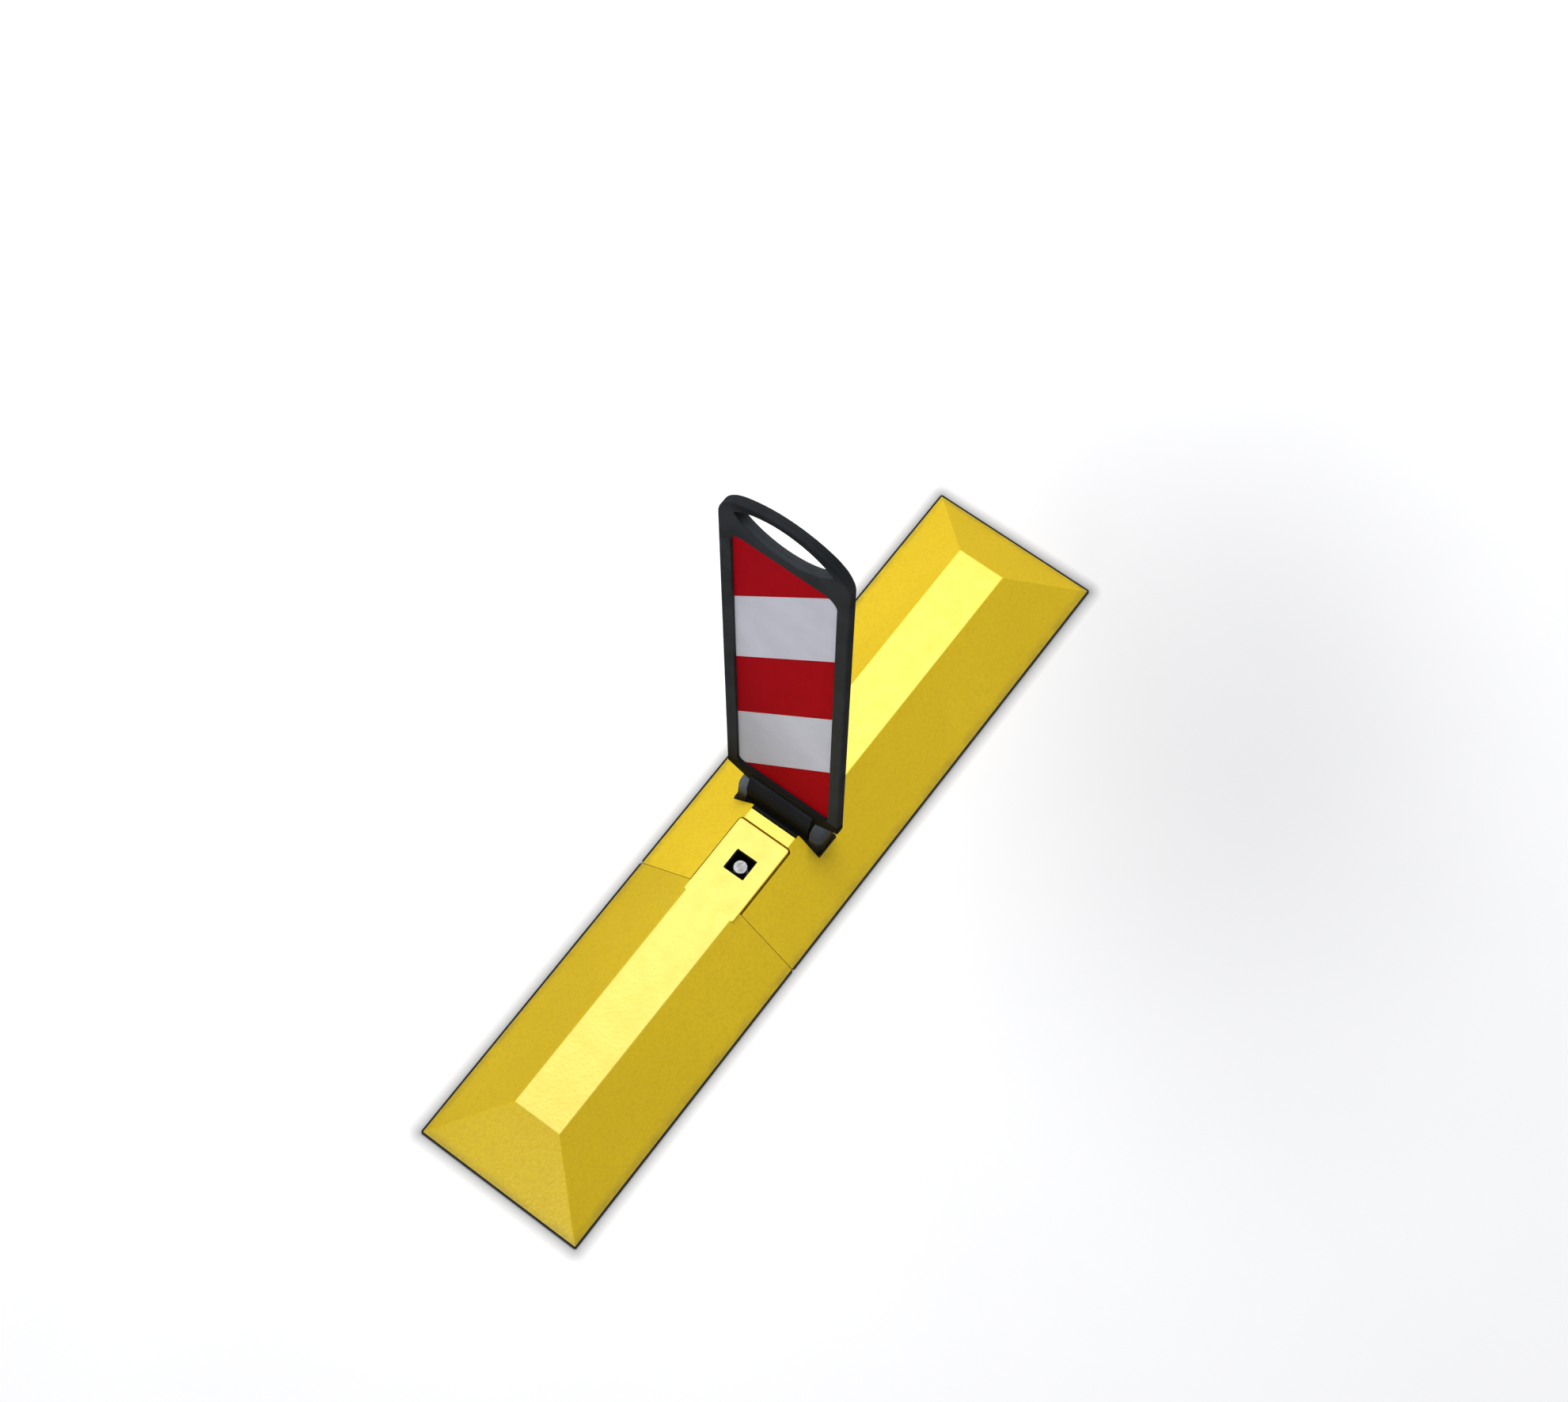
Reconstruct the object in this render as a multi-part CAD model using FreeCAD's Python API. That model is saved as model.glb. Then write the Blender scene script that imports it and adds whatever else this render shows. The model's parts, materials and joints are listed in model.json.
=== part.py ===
"""Folding marker panel on a two-piece kerb sill, in millimetres.

X runs along the sill, Y across it and Z up.  The origin is the centre of the footprint, on the ground.
The sill is two hollow mouldings on rubber mats, hooked together by a tongue and a drop-in pin.  A friction
hinge on the far moulding carries a framed marker panel, which folds down towards +X.
"""
import FreeCAD, Part
import math
import os

Vector = FreeCAD.Vector

# ---- driving dimensions: sill -------------------------------------------------------------------
LENGTH = 1000.0              # whole sill
WIDTH = 220.0
HEIGHT = 70.0
RIDGE_WIDTH = 62.0           # flat top of the sill
EDGE_RADIUS = 1.6            # moulded radius on the ridge and hips
MAT_THICKNESS = 2.0          # rubber mat under each moulding, as large as the footprint
MAT_CORNER = 3.0
SEAM_X = -100.0              # where the two mouldings meet
SEAM_GAP = 0.8
WALL = 7.0                   # moulded wall, measured square to the slope
RIB = 6.0
CELL_PITCH = 80.0            # about how far apart the ribs are

# ---- driving dimensions: coupling ---------------------------------------------------------------
TONGUE_TIP_X = -7.0
TONGUE_WIDTH = 69.0
TONGUE_CORNER = 3.0
POCKET_END_X = -5.0
POCKET_WIDTH = 73.0
POCKET_CORNER = 4.0
POCKET_FLOOR = 30.0
UNDER_POCKET = 20.0          # roof of the hollows below the pockets
WINDOW = 28.0                # square hole through the tongue
WINDOW_CORNER = 1.5
BUSH_WALL = 1.8
BUSH_DROP = 1.2              # the bush ends this far below the ridge
BUSH_FLOOR_TOP = 40.0
PIN_X = -53.6                # drop-in coupling pin
PIN_RADIUS = 8.5
PIN_TOP = 62.0
PIN_FOOT = 8.0
PIN_CHAMFER = 0.8
PIN_GROOVE_RADIUS = 6.6      # finger groove near the top of the pin
PIN_GROOVE_BOTTOM = 53.0
PIN_GROOVE_TOP = 57.0
SOCKET_RADIUS = 11.5
SOCKET_BOTTOM = 4.0
SOCKET_FLANGE_RADIUS = 15.0
SOCKET_FLANGE = 3.0

# ---- driving dimensions: hinge ------------------------------------------------------------------
AXIS_X = 31.0                # hinge axis, along Y
AXIS_Z = 76.5
EAR_RADIUS = 13.5
EAR_INNER = 44.3
EAR_OUTER = 60.0
EAR_ROUND = 8.0              # rounding of the ears' outer ends
FLANGE_HALF_LENGTH = 16.0    # foot of each ear, from which the ear tapers up
FLANGE_REACH = 61.0          # end of the flange, along Y
FLANGE_TOP = 48.5
HINGE_POCKET_FLOOR = 38.0
BRACKET_HALF_LENGTH = 21.5   # cheeks of the bracket, along X
BRACKET_HALF_WIDTH = 31.0    # cheeks, along Y
CHEEK_TOP_NEAR = 71.6
CHEEK_TOP_FAR = 69.8
CHEEK_CHAMFER = 0.6
TROUGH_RADIUS = 16.7
POCKET_GAP = 0.5             # round the bracket, in its pocket
BOLT_RADIUS = 4.0            # M8 hinge bolt
BOLT_GAP = 0.06
BOLT_HEAD = 5.3
BOLT_TAIL = 5.8              # thread past the counterbore's floor, on the nut's side
HEX_FLATS = 13.0
NUT_HEIGHT = 4.0
DISC_SPRING = 0.9            # thickness of one disc spring
DISC_SPRING_RADIUS = 8.0
FRICTION_WASHER = 1.0
FRICTION_WASHER_RADIUS = 12.0
COUNTERBORE_RADIUS = 8.6
COUNTERBORE_FLOOR = 52.0
CAP_RADIUS = 8.5
CAP_SKIN = 1.5
CAP_RIM = 1.2                # height of the rim behind the cap's skin
CAP_RIM_WALL = 0.8
SCREW_ROW = (-36.0, -14.0, 14.0, 36.0)   # bracket screws, M8
SCREW_RADIUS = 4.0
SCREW_HEAD_RADIUS = 6.5
SCREW_HEAD = 8.0
SCREW_SEAT = 48.0            # underside of the screws' heads
SCREW_TAIL = 2.0             # thread past the nut plate
NUT_PLATE = 4.0
NUT_PLATE_HALF_LENGTH = 14.0
NUT_PLATE_START = 4.0        # clears the sill's centre rib
NUT_PLATE_END = 48.0
FIT_GAP = 0.2                # clearance between faces that slide into each other
SLIDE_GAP = 0.3              # round clearance between pieces that slide

# ---- driving dimensions: foot of the panel; heights are above the hinge axis --------------------
BARREL_RADIUS = 15.0
FOOT_HALF_WIDTH = 43.1
FOOT_BORE_GAP = 0.6
FOOT_BUSH_RADIUS = 6.5
FOOT_BUSH_LENGTH = 20.0
STOP_REACH = 17.8            # lip that rests on the near cheek when the panel stands
STOP_BOTTOM = -4.4
STOP_TOP = -1.5
STOP_RUNOUT = 1.5            # where the lip has faded into the foot's front
KNEE = 22.0                  # where the front of the foot starts to slope back
SHOULDER_REACH = 9.5         # top of the slope, in front of the axis
SHOULDER_HEIGHT = 40.5
SHOULDER_CHAMFER = 1.2
TENON_HALF_WIDTH = 38.0      # tongue of the foot inside the panel frame
TENON_HALF_THICKNESS = 3.5
TENON_GAP = 0.1
TENON_TOP = 47.5
FOOT_SCREW_ROW = (-27.0, 0.0, 27.0)
FOOT_SCREW_HEIGHT = 34.5
FOOT_SCREW_RADIUS = 3.0
FOOT_SCREW_HEAD = 5.4
FOOT_SCREW_LENGTH = 14.0

# ---- driving dimensions: panel ------------------------------------------------------------------
PANEL_THICKNESS = 12.0
PANEL_HALF_WIDTH = 77.0
PANEL_BOTTOM = 101.0
PANEL_BOTTOM_HALF_WIDTH = 43.0
CORNER_TOP = 118.5           # top of the sloping bottom corners
SHOULDER_RADIUS = 46.0       # between the straight sides and the arch
ARCH_TOP = 775.4
ARCH_RADIUS = 115.0
EDGE_ROUND = 2.2             # rounding of the frame's outer and slot edges
VIEW_HALF_WIDTH = 63.0       # opening that shows the sheeting
VIEW_BOTTOM = 134.0
VIEW_TOP = 697.0
VIEW_TOP_CORNER = 17.0
VIEW_BOTTOM_CORNER = 8.0
VIEW_CHAMFER = 0.7
GRIP_TOP = 767.0             # hand slot: a lens between two arcs
GRIP_TOP_RADIUS = 79.0
GRIP_BOTTOM = 712.0
GRIP_BOTTOM_RADIUS = 72.0
GRIP_END_RADIUS = 4.0
FRAME_SCREW_RADIUS = 1.8
FRAME_SCREW_HEAD = 3.4
FRAME_SCREW_LENGTH = 9.5
FRAME_SCREW_Y = 70.9
FRAME_SCREW_LEVELS = (160.0, 290.0, 420.0, 550.0, 680.0)
TOP_SCREW_Y = 62.5           # the two screws beside the hand slot
TOP_SCREW_Z = 722.0
CORE_THICKNESS = 2.6         # board that carries the sheeting
CORE_GROOVE = 3.6            # how far the groove for it reaches into the frame
FILM_THICKNESS = 0.3
FILM_GAP = 0.1
STRIPE_COUNT = 5
STRIPE_PITCH = 142.4         # height of one stripe at the panel's centre line
FIRST_STRIPE = 625.4         # lower edge of the top stripe at the centre line
STRIPE_SLOPE = 1.178         # rise of the stripes towards -Y

# ---- derived ------------------------------------------------------------------------------------
HIP_INSET = (WIDTH - RIDGE_WIDTH) / 2   # all four slopes have the same pitch
NEAR_END = SEAM_X - SEAM_GAP / 2        # the two faces at the seam
FAR_START = SEAM_X + SEAM_GAP / 2
FRONT_X = AXIS_X - PANEL_THICKNESS / 2
REAR_X = AXIS_X + PANEL_THICKNESS / 2
PIN_BORE = PIN_RADIUS + SLIDE_GAP
BOLT_BORE = BOLT_RADIUS + BOLT_GAP
BIG = 2000.0                 # larger than the object
OVERLAP = 1.0                # how far shapes run into each other before they are joined or cut

nodes = {}


# ---- helpers ------------------------------------------------------------------------------------
def block(x0, x1, y0, y1, z0, z1):
    return Part.makeBox(x1 - x0, y1 - y0, z1 - z0, Vector(x0, y0, z0))


def upright(x, y, z0, z1, radius):
    return Part.makeCylinder(radius, z1 - z0, Vector(x, y, z0), Vector(0, 0, 1))


def across(y0, y1, radius, x=AXIS_X, z=AXIS_Z):
    """Cylinder along Y, by default round the hinge axis."""
    return Part.makeCylinder(radius, y1 - y0, Vector(x, y0, z), Vector(0, 1, 0))


def lengthwise(x0, x1, y, z, radius):
    """Cylinder along X."""
    return Part.makeCylinder(radius, x1 - x0, Vector(x0, y, z), Vector(1, 0, 0))


def prism(points, direction):
    wire = Part.makePolygon([Vector(*p) for p in points] + [Vector(*points[0])])
    return Part.Face(wire).extrude(Vector(*direction))


def extrude_wire(edges, direction):
    return Part.Face(Part.Wire(Part.__sortEdges__(edges))).extrude(Vector(*direction))


def line(a, b):
    return Part.LineSegment(a, b).toShape()


def arc(a, middle, b):
    return Part.Arc(a, middle, b).toShape()


def fuse(shapes):
    result = shapes[0]
    for shape in shapes[1:]:
        result = result.fuse(shape)
    return result.removeSplitter()


def both_sides(shape):
    """The shape and its mirror image across the XZ plane."""
    return [shape, shape.mirror(Vector(0, 0, 0), Vector(0, 1, 0))]


def group(shapes):
    return Part.makeCompound(shapes)


def rounded_box(x0, x1, y0, y1, z0, z1, radius):
    """Box with its upright edges rounded."""
    solid = block(x0, x1, y0, y1, z0, z1)
    return solid.makeFillet(radius, [e for e in solid.Edges if is_upright(e)])


def is_upright(edge):
    ends = [v.Point for v in edge.Vertexes]
    return len(ends) == 2 and abs(ends[0].x - ends[1].x) + abs(ends[0].y - ends[1].y) < 1e-6


def hex_prism(y0, y1, flats):
    radius = flats / math.sqrt(3)
    corners = []
    for step in range(6):
        angle = math.radians(60 * step)
        corners.append((AXIS_X + radius * math.cos(angle), y0, AXIS_Z + radius * math.sin(angle)))
    return prism(corners, (0, y1 - y0, 0))


# ---- sill ---------------------------------------------------------------------------------------
def hipped(margin, height):
    """Hipped block: the sill's outline drawn in by margin at the ground and cut flat at height."""
    rings = []
    for z in (0, height):
        x = LENGTH / 2 - margin - HIP_INSET * z / HEIGHT
        y = WIDTH / 2 - margin - HIP_INSET * z / HEIGHT
        corners = [(-x, -y), (x, -y), (x, y), (-x, y), (-x, -y)]
        rings.append(Part.makePolygon([Vector(cx, cy, z) for cx, cy in corners]))
    return Part.makeLoft(rings, True, True)


def sill_outline(x0, x1):
    """Solid sill between two cross sections, standing on the mats."""
    solid = hipped(0, HEIGHT)
    upper = [e for e in solid.Edges if max(v.Point.z for v in e.Vertexes) > HEIGHT / 2]
    return solid.makeFillet(EDGE_RADIUS, upper).common(block(x0, x1, -BIG, BIG, MAT_THICKNESS, BIG))


def cells(x0, x1, roof):
    """Open-bottomed hollows between the ribs from x0 to x1, no higher than roof."""
    slope = math.atan2(HEIGHT, HIP_INSET)
    hollow = hipped(WALL / math.sin(slope), HEIGHT - WALL)
    count = round((x1 - x0) / CELL_PITCH)
    pitch = (x1 - x0) / count
    pieces = []
    for i in range(count):
        start = x0 + i * pitch + RIB / 2
        end = x0 + (i + 1) * pitch - RIB / 2
        half = block(start, end, RIB / 2, WIDTH, 0, roof)
        pieces += [hollow.common(side) for side in both_sides(half)]
    return pieces


def near_sill():
    body = sill_outline(-BIG, NEAR_END)
    body = body.cut(group(cells(-LENGTH / 2 + WALL, NEAR_END - WALL + RIB / 2, HEIGHT)))
    tongue = rounded_box(NEAR_END - 2 * WALL, TONGUE_TIP_X, -TONGUE_WIDTH / 2, TONGUE_WIDTH / 2,
                         POCKET_FLOOR + FIT_GAP, HEIGHT, TONGUE_CORNER)
    rim = [e for e in tongue.Edges
           if min(v.Point.z for v in e.Vertexes) > HEIGHT - 1e-6
           and max(v.Point.x for v in e.Vertexes) > NEAR_END]
    tongue = tongue.makeFillet(EDGE_RADIUS / 2, rim)
    half = WINDOW / 2
    window = rounded_box(PIN_X - half, PIN_X + half, -half, half, 0, BIG, WINDOW_CORNER)
    return fuse([body, tongue]).cut(window)


def far_sill():
    stout_end = AXIS_X + BRACKET_HALF_LENGTH + WALL
    body = sill_outline(FAR_START, BIG)
    body = body.cut(group(cells(FAR_START + WALL - RIB / 2, stout_end, UNDER_POCKET)))
    body = body.cut(group(cells(stout_end, LENGTH / 2 - WALL, HEIGHT)))
    boss = upright(PIN_X, 0, MAT_THICKNESS, UNDER_POCKET, PIN_RADIUS + 2 * WALL)
    body = fuse([body, boss])
    tongue_pocket = rounded_box(SEAM_X - WALL, POCKET_END_X, -POCKET_WIDTH / 2, POCKET_WIDTH / 2,
                                POCKET_FLOOR, BIG, POCKET_CORNER)
    half_length = BRACKET_HALF_LENGTH + POCKET_GAP
    half_width = BRACKET_HALF_WIDTH + POCKET_GAP
    middle = block(AXIS_X - half_length, AXIS_X + half_length, -half_width, half_width,
                   HINGE_POCKET_FLOOR, BIG)
    ear_length = FLANGE_HALF_LENGTH + POCKET_GAP
    ear_width = FLANGE_REACH + POCKET_GAP
    ears = block(AXIS_X - ear_length, AXIS_X + ear_length, -ear_width, ear_width,
                 HINGE_POCKET_FLOOR, BIG)
    screws = [upright(AXIS_X, y, 0, BIG, SCREW_RADIUS + FIT_GAP) for y in SCREW_ROW]
    return body.cut(group([tongue_pocket, middle, ears, socket_outline()] + screws))


def mat(x0, x1):
    return rounded_box(x0, x1, -WIDTH / 2, WIDTH / 2, 0, MAT_THICKNESS, MAT_CORNER)


# ---- coupling -----------------------------------------------------------------------------------
def socket_outline():
    flange = upright(PIN_X, 0, POCKET_FLOOR - SOCKET_FLANGE, POCKET_FLOOR, SOCKET_FLANGE_RADIUS)
    return fuse([flange, upright(PIN_X, 0, SOCKET_BOTTOM, POCKET_FLOOR, SOCKET_RADIUS)])


def coupling_socket():
    return socket_outline().cut(upright(PIN_X, 0, PIN_FOOT, BIG, PIN_BORE))


def coupling_bush():
    """Lining of the tongue's window, with a floor that guides the pin."""
    half = WINDOW / 2
    solid = rounded_box(PIN_X - half, PIN_X + half, -half, half, POCKET_FLOOR + FIT_GAP,
                        HEIGHT - BUSH_DROP, WINDOW_CORNER)
    inner = half - BUSH_WALL
    recess = rounded_box(PIN_X - inner, PIN_X + inner, -inner, inner, BUSH_FLOOR_TOP, BIG, WINDOW_CORNER)
    return solid.cut(group([recess, upright(PIN_X, 0, 0, BIG, PIN_BORE)]))


def coupling_pin():
    pin = upright(PIN_X, 0, PIN_FOOT, PIN_TOP, PIN_RADIUS)
    pin = pin.makeChamfer(PIN_CHAMFER, [e for e in pin.Edges if len(e.Vertexes) == 1])
    ring = upright(PIN_X, 0, PIN_GROOVE_BOTTOM, PIN_GROOVE_TOP, PIN_RADIUS + OVERLAP)
    return pin.cut(ring.cut(upright(PIN_X, 0, 0, BIG, PIN_GROOVE_RADIUS)))


# ---- hinge --------------------------------------------------------------------------------------
def ear():
    """The +Y ear: tapers up from the flange to a round end, with its outer rim well rounded."""
    drop = FLANGE_TOP - AXIS_Z
    reach = math.hypot(FLANGE_HALF_LENGTH, drop)
    angle = math.atan2(drop, FLANGE_HALF_LENGTH) + math.acos(EAR_RADIUS / reach)
    x = EAR_RADIUS * math.cos(angle)
    z = EAR_RADIUS * math.sin(angle)
    edges = [arc(Vector(AXIS_X - x, EAR_INNER, AXIS_Z + z), Vector(AXIS_X, EAR_INNER, AXIS_Z + EAR_RADIUS),
                 Vector(AXIS_X + x, EAR_INNER, AXIS_Z + z)),
             line(Vector(AXIS_X - FLANGE_HALF_LENGTH, EAR_INNER, FLANGE_TOP),
                  Vector(AXIS_X + FLANGE_HALF_LENGTH, EAR_INNER, FLANGE_TOP))]
    for side in (-1, 1):
        edges.append(line(Vector(AXIS_X + side * FLANGE_HALF_LENGTH, EAR_INNER, FLANGE_TOP),
                          Vector(AXIS_X + side * x, EAR_INNER, AXIS_Z + z)))
    solid = extrude_wire(edges, (0, EAR_OUTER - EAR_INNER, 0))
    rim = [e for e in solid.Edges
           if e.BoundBox.YMin > EAR_OUTER - 1e-6 and e.BoundBox.ZMax > FLANGE_TOP + OVERLAP]
    return solid.makeFillet(EAR_ROUND, rim)


def hinge_bracket():
    near = AXIS_X - BRACKET_HALF_LENGTH
    far = AXIS_X + BRACKET_HALF_LENGTH
    profile = [(near, HINGE_POCKET_FLOOR), (far, HINGE_POCKET_FLOOR), (far, CHEEK_TOP_FAR),
               (AXIS_X, CHEEK_TOP_FAR), (AXIS_X - FLANGE_HALF_LENGTH, CHEEK_TOP_NEAR),
               (near + CHEEK_CHAMFER, CHEEK_TOP_NEAR), (near, CHEEK_TOP_NEAR - CHEEK_CHAMFER)]
    middle = prism([(x, -BRACKET_HALF_WIDTH, z) for x, z in profile], (0, 2 * BRACKET_HALF_WIDTH, 0))
    middle = middle.cut(across(-EAR_INNER, EAR_INNER, TROUGH_RADIUS))
    web = block(AXIS_X - FLANGE_HALF_LENGTH, AXIS_X + FLANGE_HALF_LENGTH, -EAR_INNER, EAR_INNER,
                HINGE_POCKET_FLOOR, SCREW_SEAT + SCREW_HEAD)
    flange = block(AXIS_X - FLANGE_HALF_LENGTH, AXIS_X + FLANGE_HALF_LENGTH, EAR_INNER, FLANGE_REACH,
                   HINGE_POCKET_FLOOR, FLANGE_TOP)
    bracket = fuse([middle, web] + both_sides(ear()) + both_sides(flange))
    cuts = [across(-EAR_OUTER, EAR_OUTER, BOLT_BORE)]
    cuts += both_sides(across(COUNTERBORE_FLOOR, EAR_OUTER, COUNTERBORE_RADIUS))
    for y in SCREW_ROW:
        cuts.append(upright(AXIS_X, y, 0, BIG, SCREW_RADIUS + FIT_GAP))
        cuts.append(upright(AXIS_X, y, SCREW_SEAT, AXIS_Z, SCREW_HEAD_RADIUS + FIT_GAP))
    return bracket.cut(group(cuts))


def bracket_screws():
    bottom = UNDER_POCKET - NUT_PLATE - SCREW_TAIL
    screws = []
    for y in SCREW_ROW:
        shank = upright(AXIS_X, y, bottom, SCREW_SEAT, SCREW_RADIUS)
        head = upright(AXIS_X, y, SCREW_SEAT, SCREW_SEAT + SCREW_HEAD, SCREW_HEAD_RADIUS)
        screws.append(fuse([shank, head]))
    return group(screws)


def nut_plates():
    """One threaded plate on each side of the sill's centre rib."""
    plate = block(AXIS_X - NUT_PLATE_HALF_LENGTH, AXIS_X + NUT_PLATE_HALF_LENGTH,
                  NUT_PLATE_START, NUT_PLATE_END, UNDER_POCKET - NUT_PLATE, UNDER_POCKET)
    holes = group([upright(AXIS_X, y, 0, BIG, SCREW_RADIUS) for y in SCREW_ROW])
    return group([side.cut(holes) for side in both_sides(plate)])


def hinge_bolt():
    shank = across(-COUNTERBORE_FLOOR - BOLT_TAIL, COUNTERBORE_FLOOR, BOLT_RADIUS)
    return fuse([shank, hex_prism(COUNTERBORE_FLOOR, COUNTERBORE_FLOOR + BOLT_HEAD, HEX_FLATS)])


def hinge_nut():
    y1 = -COUNTERBORE_FLOOR - 2 * DISC_SPRING
    return hex_prism(y1 - NUT_HEIGHT, y1, HEX_FLATS).cut(across(-EAR_OUTER, 0, BOLT_RADIUS))


def disc_springs():
    """Two flat-ground disc springs under the nut."""
    springs = []
    for i in range(2):
        y1 = -COUNTERBORE_FLOOR - i * DISC_SPRING
        disc = across(y1 - DISC_SPRING, y1, DISC_SPRING_RADIUS)
        springs.append(disc.cut(across(-EAR_OUTER, 0, BOLT_BORE)))
    return group(springs)


def friction_washers():
    disc = across(EAR_INNER - FRICTION_WASHER, EAR_INNER, FRICTION_WASHER_RADIUS)
    return group(both_sides(disc.cut(across(0, EAR_OUTER, BOLT_BORE))))


def ear_caps():
    """Push-in caps that close the counterbores flush with the rounded ends, the +Y one first."""
    inner = EAR_OUTER - CAP_SKIN
    skin = across(inner, EAR_OUTER, CAP_RADIUS).common(ear())
    rim = across(inner - CAP_RIM, inner, CAP_RADIUS).cut(across(0, EAR_OUTER, CAP_RADIUS - CAP_RIM_WALL))
    return both_sides(fuse([skin, rim]))


def hinge_foot():
    """Barrel with a stop lip, a sloping shoulder in front of the frame and a tenon inside it."""
    half = PANEL_THICKNESS / 2
    bottom = PANEL_BOTTOM - AXIS_Z
    profile = [(half, bottom), (half, 0), (-STOP_REACH, STOP_BOTTOM), (-STOP_REACH, STOP_TOP),
               (-BARREL_RADIUS, STOP_RUNOUT), (-BARREL_RADIUS, KNEE),
               (-SHOULDER_REACH, SHOULDER_HEIGHT - SHOULDER_CHAMFER),
               (-SHOULDER_REACH + SHOULDER_CHAMFER, SHOULDER_HEIGHT), (-half, SHOULDER_HEIGHT),
               (-half, bottom)]
    body = prism([(AXIS_X + x, -FOOT_HALF_WIDTH, AXIS_Z + z) for x, z in profile],
                 (0, 2 * FOOT_HALF_WIDTH, 0))
    barrel = across(-FOOT_HALF_WIDTH, FOOT_HALF_WIDTH, BARREL_RADIUS)
    tenon = block(AXIS_X - TENON_HALF_THICKNESS, AXIS_X + TENON_HALF_THICKNESS,
                  -TENON_HALF_WIDTH, TENON_HALF_WIDTH, PANEL_BOTTOM - OVERLAP, AXIS_Z + TENON_TOP)
    cuts = [across(-FOOT_HALF_WIDTH, FOOT_HALF_WIDTH, BOLT_RADIUS + FOOT_BORE_GAP)]
    cuts += both_sides(across(FOOT_HALF_WIDTH - FOOT_BUSH_LENGTH, FOOT_HALF_WIDTH, FOOT_BUSH_RADIUS))
    cuts += [lengthwise(REAR_X - FOOT_SCREW_LENGTH, REAR_X, y, AXIS_Z + FOOT_SCREW_HEIGHT, FOOT_SCREW_RADIUS)
             for y in FOOT_SCREW_ROW]
    return fuse([body, barrel, tenon]).cut(group(cuts))


def foot_bushes():
    ring = across(FOOT_HALF_WIDTH - FOOT_BUSH_LENGTH, FOOT_HALF_WIDTH, FOOT_BUSH_RADIUS)
    return group(both_sides(ring.cut(across(0, EAR_OUTER, BOLT_BORE))))


# ---- panel --------------------------------------------------------------------------------------
def frame_outline(x0, x1):
    """Solid panel outline between two planes across X."""
    centre = ARCH_TOP - ARCH_RADIUS
    side_y = PANEL_HALF_WIDTH - SHOULDER_RADIUS
    side_top = centre + math.sqrt((ARCH_RADIUS - SHOULDER_RADIUS) ** 2 - side_y ** 2)
    angle = math.atan2(side_top - centre, side_y)

    def on_arch(side):
        return Vector(x0, side * ARCH_RADIUS * math.cos(angle), centre + ARCH_RADIUS * math.sin(angle))

    def between(side):
        return Vector(x0, side * (side_y + SHOULDER_RADIUS * math.cos(angle / 2)),
                      side_top + SHOULDER_RADIUS * math.sin(angle / 2))

    low = [Vector(x0, side * PANEL_BOTTOM_HALF_WIDTH, PANEL_BOTTOM) for side in (-1, 1)]
    corner = [Vector(x0, side * PANEL_HALF_WIDTH, CORNER_TOP) for side in (-1, 1)]
    top = [Vector(x0, side * PANEL_HALF_WIDTH, side_top) for side in (-1, 1)]
    edges = [line(low[0], low[1]), arc(on_arch(-1), Vector(x0, 0, ARCH_TOP), on_arch(1))]
    for i, side in enumerate((-1, 1)):
        edges.append(line(low[i], corner[i]))
        edges.append(line(corner[i], top[i]))
        edges.append(arc(top[i], between(side), on_arch(side)))
    return extrude_wire(edges, (x1 - x0, 0, 0))


def grip_slot(x0, x1):
    """Lens-shaped hand slot: a long arc above, a slightly tighter one below, rounded ends."""
    upper = GRIP_TOP - GRIP_TOP_RADIUS
    lower = GRIP_BOTTOM + GRIP_BOTTOM_RADIUS
    meet_z = (lower + upper) / 2 + (GRIP_TOP_RADIUS ** 2 - GRIP_BOTTOM_RADIUS ** 2) / (2 * (lower - upper))
    meet_y = math.sqrt(GRIP_TOP_RADIUS ** 2 - (meet_z - upper) ** 2)
    left = Vector(x0, meet_y, meet_z)
    right = Vector(x0, -meet_y, meet_z)
    arcs = [arc(left, Vector(x0, 0, level), right) for level in (GRIP_TOP, GRIP_BOTTOM)]
    solid = extrude_wire(arcs, (x1 - x0, 0, 0))
    ends = [e for e in solid.Edges if e.BoundBox.XLength > OVERLAP and e.BoundBox.YLength < 1e-6]
    return solid.makeFillet(GRIP_END_RADIUS, ends)


def view_opening(x0, x1, grow=0.0):
    """Rounded rectangle as large as the view opening, or larger by grow all round."""
    half = VIEW_HALF_WIDTH + grow
    solid = block(x0, x1, -half, half, VIEW_BOTTOM - grow, VIEW_TOP + grow)
    corners = [e for e in solid.Edges if e.BoundBox.XLength > FILM_THICKNESS / 2]
    solid = solid.makeFillet(VIEW_TOP_CORNER, [e for e in corners if e.BoundBox.ZMin > VIEW_TOP - OVERLAP])
    corners = [e for e in solid.Edges
               if e.BoundBox.XLength > FILM_THICKNESS / 2 and e.BoundBox.ZMax < VIEW_BOTTOM + OVERLAP]
    return solid.makeFillet(VIEW_BOTTOM_CORNER, corners)


def on_face(edge, x):
    return edge.BoundBox.XLength < 1e-6 and abs(edge.BoundBox.XMin - x) < 1e-6


def in_view(edge):
    """Whether the edge belongs to the view opening."""
    box = edge.BoundBox
    half = VIEW_HALF_WIDTH + FILM_GAP
    return (-half < box.YMin and box.YMax < half
            and VIEW_BOTTOM - FILM_GAP < box.ZMin and box.ZMax < VIEW_TOP + FILM_GAP)


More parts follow.
